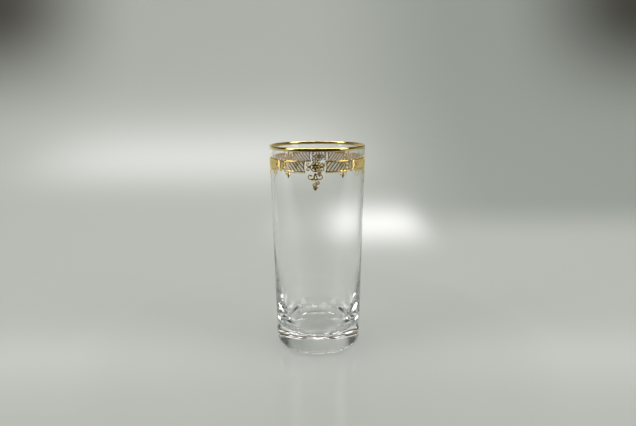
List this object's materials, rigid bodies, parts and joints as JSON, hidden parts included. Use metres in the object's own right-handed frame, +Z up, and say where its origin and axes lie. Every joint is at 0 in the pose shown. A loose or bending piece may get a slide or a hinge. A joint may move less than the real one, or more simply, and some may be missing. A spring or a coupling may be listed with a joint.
{
  "type": "highball glass",
  "caption": "Tall, slightly tapered highball glass with a heavy clear base, a gilded rim and an openwork gilded frieze with hanging sprays just below the rim.",
  "frame": {"origin": "centre of the resting ring, on the plane the glass stands on", "axes": "+Z up along the glass axis, -Y towards the first pendant of the frieze"},
  "size_m": [0.0688, 0.0688, 0.1502],
  "materials": {
    "clear_glass": "clear, polished",
    "fired_gold": "bright fired gold"
  },
  "bodies": {
    "root": {"glass_tumbler": "clear_glass", "rim_gilding": "fired_gold", "cartouche_1": "fired_gold", "pendant_1": "fired_gold", "reeded_panel_left_1": "fired_gold", "reeded_panel_right_1": "fired_gold", "clasp_1": "fired_gold", "drop_left_1": "fired_gold", "drop_right_1": "fired_gold", "cartouche_2": "fired_gold", "pendant_2": "fired_gold", "reeded_panel_left_2": "fired_gold", "reeded_panel_right_2": "fired_gold", "clasp_2": "fired_gold", "drop_left_2": "fired_gold", "drop_right_2": "fired_gold", "cartouche_3": "fired_gold", "pendant_3": "fired_gold", "reeded_panel_left_3": "fired_gold", "reeded_panel_right_3": "fired_gold", "clasp_3": "fired_gold", "drop_left_3": "fired_gold", "drop_right_3": "fired_gold", "cartouche_4": "fired_gold", "pendant_4": "fired_gold", "reeded_panel_left_4": "fired_gold", "reeded_panel_right_4": "fired_gold", "clasp_4": "fired_gold", "drop_left_4": "fired_gold", "drop_right_4": "fired_gold"}
  },
  "joints": []
}
